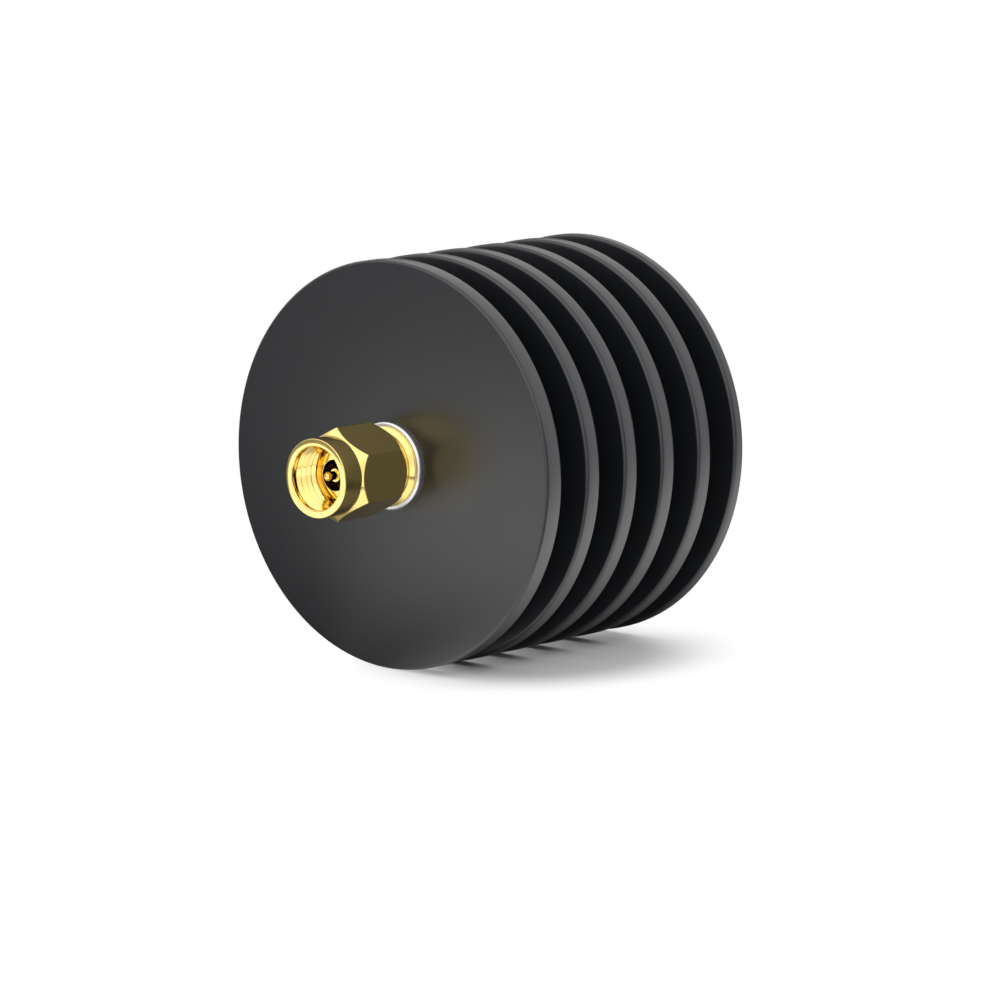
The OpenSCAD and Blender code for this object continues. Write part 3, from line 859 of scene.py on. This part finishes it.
def room_glow(tree, direction):
    """How bright reflections show the room: screens behind, at the left and at the right, under a sky."""
    way = add(tree, "ShaderNodeSeparateXYZ", {"Vector": direction}).outputs
    screen = ramp(tree, along(tree, direction, (-0.3, 0.953, 0)), (0.7, 1), (0.88, 0.04))
    over_screen = ramp(tree, way["Z"], (0.15, 0.04), (0.32, 1))
    screen = combine(tree, "MAXIMUM", screen, over_screen)
    left = ramp(tree, along(tree, direction, (-0.66, -0.73, 0.1)), (0.7, 1), (0.95, 0.38))
    right = ramp(tree, along(tree, direction, (0.99, 0.1, 0)), (0.82, 1), (0.96, 0.25))
    over_right = ramp(tree, way["Z"], (0.2, 0), (0.45, 1))
    right = combine(tree, "MAXIMUM", right, over_right)
    screens = combine(tree, "MINIMUM", screen, left, right)
    above = ramp(tree, way["Z"], (0.3, 1.1), (0.6, 1.45))
    ahead = ramp(tree, way["Y"], (-0.15, 1.5), (0.05, 0.6))
    back = ramp(tree, way["Y"], (0.4, 0.6), (0.68, 1.1))
    sky = combine(tree, "MINIMUM", above, combine(tree, "MAXIMUM", ahead, back))
    return combine(tree, "MULTIPLY", screens, sky)


def light(scene):
    """A room that the camera sees white, a soft lamp from the upper left and a weaker one from the right."""
    world = bpy.data.worlds.new("white_room")
    world.use_nodes = True
    scene.world = world
    tree = world.node_tree
    background = tree.nodes["Background"]
    background.inputs["Color"].default_value = (1, 1, 1, 1)
    camera, mirrored = rays(tree)
    reflected = room_glow(tree, add(tree, "ShaderNodeTexCoord").outputs["Generated"])
    plain = add(tree, "ShaderNodeMix", {0: camera, 2: scene.attenuator_stage.room, 3: 1.0}).outputs[0]
    strength = add(tree, "ShaderNodeMix", {0: mirrored, 2: plain, 3: reflected}).outputs[0]
    tree.links.new(strength, background.inputs["Strength"])
    # Name, place, width and power in watts
    lamps = (
        ("key_lamp", (-300 * MM, 20 * MM, 420 * MM), 120 * MM, 1.3),
        ("side_lamp", (370 * MM, 100 * MM, 270 * MM), 200 * MM, 0.8),
    )
    for name, place, size, power in lamps:
        lamp = bpy.data.lights.new(name, "AREA")
        lamp.shape = "DISK"
        lamp.size = size
        lamp.energy = power
        thing = bpy.data.objects.new(name, lamp)
        thing.location = place
        thing.rotation_euler = (-Vector(place)).to_track_quat("-Z", "Y").to_euler()
        thing.visible_glossy = False
        scene.collection.objects.link(thing)


def place_camera(scene):
    """Stands the camera at the photograph's angle, from where it sees the heat sink off the middle as there."""
    stage = scene.attenuator_stage
    a, e = stage.azimuth, stage.elevation
    back = Vector((math.sin(a) * math.cos(e), -math.cos(a) * math.cos(e), math.sin(e)))
    right = Vector((math.cos(a), math.sin(a), 0))
    up = back.cross(right)
    camera = bpy.data.objects.new("camera", bpy.data.cameras.new("camera"))
    face = Vector((0, span("heatsink")[0], 0))
    camera.location = face + right * stage.aside - up * stage.below + back * stage.distance
    camera.rotation_euler = (-back).to_track_quat("-Z", "Y").to_euler()
    camera.data.lens = stage.lens
    camera.data.clip_start = 0.01
    camera.data.clip_end = 20
    scene.collection.objects.link(camera)
    scene.camera = camera


class ATTENUATOR_PT_panel(bpy.types.Panel):
    """Lists the pieces, their sizes and the stage"""

    bl_label = "Coaxial attenuator"
    bl_space_type = "VIEW_3D"
    bl_region_type = "UI"
    bl_category = "Attenuator"

    def draw(self, context):
        for operator in OPERATORS:
            self.layout.operator(operator.bl_idname)
        for name, group in GROUPS.items():
            box = self.layout.box()
            box.label(text=group.__doc__)
            for field in group.__annotations__:
                box.prop(getattr(context.scene, name), field)


OPERATORS = (
    ATTENUATOR_OT_stage,
    ATTENUATOR_OT_inner_pieces,
    ATTENUATOR_OT_heat_sink,
    ATTENUATOR_OT_coupling_nut,
    ATTENUATOR_OT_plug,
    ATTENUATOR_OT_rings,
    ATTENUATOR_OT_jack,
)


def register():
    for group in GROUPS.values():
        bpy.utils.register_class(group)
    for operator in OPERATORS:
        bpy.utils.register_class(operator)
    bpy.utils.register_class(ATTENUATOR_PT_panel)
    for name, group in GROUPS.items():
        setattr(bpy.types.Scene, name, PointerProperty(type=group))


def unregister():
    for name in GROUPS:
        delattr(bpy.types.Scene, name)
    bpy.utils.unregister_class(ATTENUATOR_PT_panel)
    for operator in reversed(OPERATORS):
        bpy.utils.unregister_class(operator)
    for group in reversed(list(GROUPS.values())):
        bpy.utils.unregister_class(group)


def main():
    """Builds everything in order."""
    register()
    for operator in OPERATORS:
        group, name = operator.bl_idname.split(".")
        getattr(getattr(bpy.ops, group), name)()


if __name__ == "__main__":
    main()
